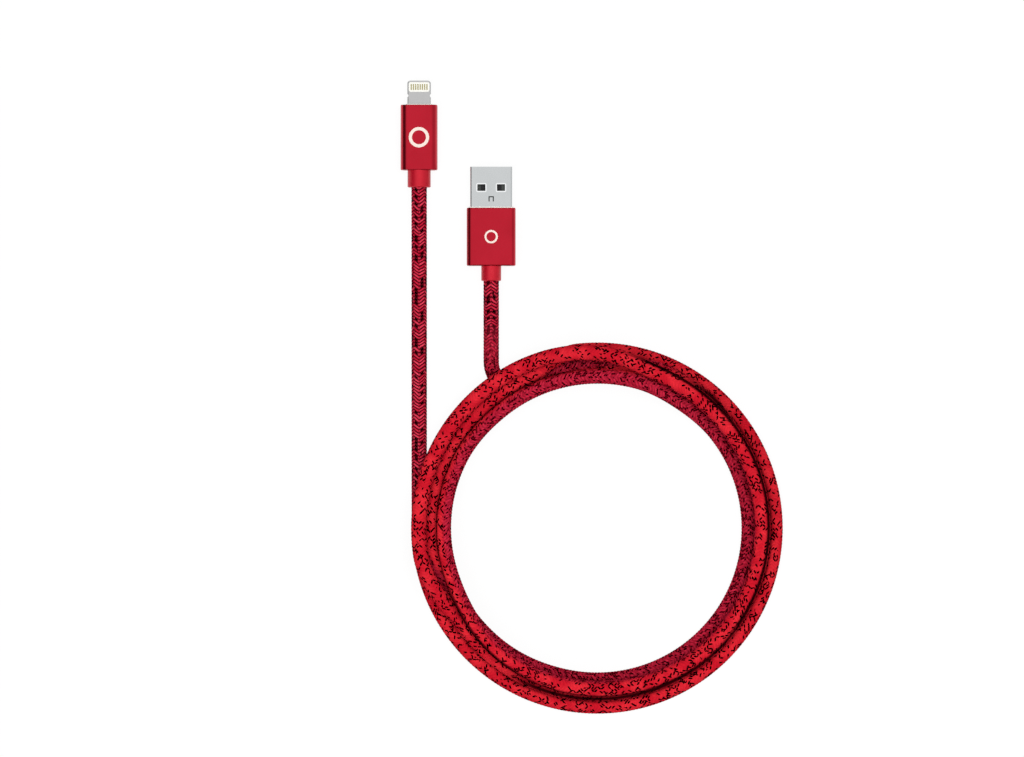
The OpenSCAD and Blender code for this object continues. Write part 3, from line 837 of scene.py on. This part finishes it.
# ---------------------------------------------------------------------------
# Studio: camera straight above, pale floor, soft light
# ---------------------------------------------------------------------------

PIXELS_PER_M = 3500.0
IMAGE_SIZE = (1024, 757)
COIL_PIXEL = (597.25, 528.25)
LENS = 200.0
SENSOR = 36.0
CABLE_MID_Z = 4 * MM

FLOOR_HALF = 6.0
FLOOR_DROP = 0.02 * MM
FLOOR_GREY = 0.8
FLOOR_WHITE = 1.03
FLOOR_WHITE_SHARE = 0.9  # of what the camera, mirrors and glass see; the rest shows the shadow

WORLD_LIGHT = 0.36
LEFT_BAND = (0.78, 0.38)  # darkness at the left and at the right of the surroundings
LEFT_SPAN = (-0.5, 0.3)
LOW_SPAN = (0.55, 0.92)

LAMP_AIM = (0, 0.03, 0)


def make_camera():
    camera = add_object("camera", bpy.data.cameras.new("camera"))
    camera.data.lens = LENS
    camera.data.sensor_width = SENSOR
    camera.data.clip_start, camera.data.clip_end = 0.05, 20
    across = IMAGE_SIZE[0] / PIXELS_PER_M
    camera.location = (
        (IMAGE_SIZE[0] / 2 - COIL_PIXEL[0]) / PIXELS_PER_M,
        (COIL_PIXEL[1] - IMAGE_SIZE[1] / 2) / PIXELS_PER_M,
        across * LENS / SENSOR + CABLE_MID_Z,
    )
    bpy.context.scene.camera = camera


def seen_directly(tree):
    """1 for camera, glossy and transmission rays, 0 for the rest."""
    path = tree.nodes.new("ShaderNodeLightPath")
    total = path.outputs["Is Camera Ray"]
    for name in ("Is Glossy Ray", "Is Transmission Ray"):
        adder = tree.nodes.new("ShaderNodeMath")
        adder.operation = "MAXIMUM"
        tree.links.new(total, adder.inputs[0])
        tree.links.new(path.outputs[name], adder.inputs[1])
        total = adder.outputs[0]
    return total


def make_floor():
    """A pale floor that looks white where it is seen, and keeps a soft shadow."""
    material = bpy.data.materials.new("floor")
    material.use_nodes = True
    tree = material.node_tree
    tree.nodes.clear()
    plain = tree.nodes.new("ShaderNodeBsdfDiffuse")
    plain.inputs["Color"].default_value = (FLOOR_GREY, FLOOR_GREY, FLOOR_GREY, 1)
    white = tree.nodes.new("ShaderNodeEmission")
    white.inputs["Color"].default_value = (1, 1, 1, 1)
    white.inputs["Strength"].default_value = FLOOR_WHITE
    mix = tree.nodes.new("ShaderNodeMixShader")
    share = tree.nodes.new("ShaderNodeMath")
    share.operation = "MULTIPLY"
    share.inputs[1].default_value = FLOOR_WHITE_SHARE
    out = tree.nodes.new("ShaderNodeOutputMaterial")
    tree.links.new(seen_directly(tree), share.inputs[0])
    tree.links.new(share.outputs[0], mix.inputs["Fac"])
    tree.links.new(plain.outputs[0], mix.inputs[1])
    tree.links.new(white.outputs[0], mix.inputs[2])
    tree.links.new(mix.outputs[0], out.inputs["Surface"])

    mesh = bpy.data.meshes.new("floor")
    corners = [(x * FLOOR_HALF, y * FLOOR_HALF, 0) for x, y in ((-1, -1), (1, -1), (1, 1), (-1, 1))]
    mesh.from_pydata(corners, [], [(0, 1, 2, 3)])
    mesh.materials.append(material)
    floor = add_object("floor", mesh)
    floor.location.z = -FLOOR_DROP


def make_world():
    """White above, falling to dark low down, and darker at the left than at the right, like the
    edge of a studio."""
    world = bpy.data.worlds.new("studio")
    world.use_nodes = True
    tree = world.node_tree
    background = tree.nodes["Background"]

    def span(value, low, high, start, end):
        made = tree.nodes.new("ShaderNodeMapRange")
        made.interpolation_type = "SMOOTHSTEP"
        tree.links.new(value, made.inputs["Value"])
        levels = {"From Min": start, "From Max": end, "To Min": low, "To Max": high}
        for name, level in levels.items():
            made.inputs[name].default_value = level
        return made.outputs["Result"]

    place = tree.nodes.new("ShaderNodeTexCoord")
    way = tree.nodes.new("ShaderNodeSeparateXYZ")
    tree.links.new(place.outputs["Generated"], way.inputs["Vector"])
    left = span(way.outputs["X"], *LEFT_BAND, *LEFT_SPAN)
    low = span(way.outputs["Z"], 1.0, 0.0, *LOW_SPAN)
    shade = tree.nodes.new("ShaderNodeMath")
    shade.operation = "MULTIPLY"
    tree.links.new(left, shade.inputs[0])
    tree.links.new(low, shade.inputs[1])
    tree.links.new(span(shade.outputs[0], 1.0, 0.0, 0.0, 1.0), background.inputs["Color"])

    level = tree.nodes.new("ShaderNodeMapRange")
    level.inputs["To Min"].default_value = WORLD_LIGHT
    level.inputs["To Max"].default_value = 1.0
    tree.links.new(seen_directly(tree), level.inputs["Value"])
    tree.links.new(level.outputs["Result"], background.inputs["Strength"])
    bpy.context.scene.world = world


def soft_box(name, place, size, power):
    """A square lamp with sides of this size, aimed at the cable, that metal doesn't mirror."""
    light = bpy.data.lights.new(name, "AREA")
    light.shape = "RECTANGLE"
    light.size = light.size_y = size
    light.energy = power
    lamp = add_object(name, light)
    lamp.location = place
    lamp.visible_glossy = False
    direction = Vector(LAMP_AIM) - Vector(place)
    lamp.rotation_mode = "QUATERNION"
    lamp.rotation_quaternion = direction.to_track_quat("-Z", "Y")


make_camera()
make_floor()
make_world()
soft_box("key", place=(0.3, 0.2, 1.7), size=0.7, power=13.0)
soft_box("fill", place=(-0.4, -0.3, 1.6), size=0.9, power=12.2)

bpy.context.scene.view_settings.view_transform = "Standard"
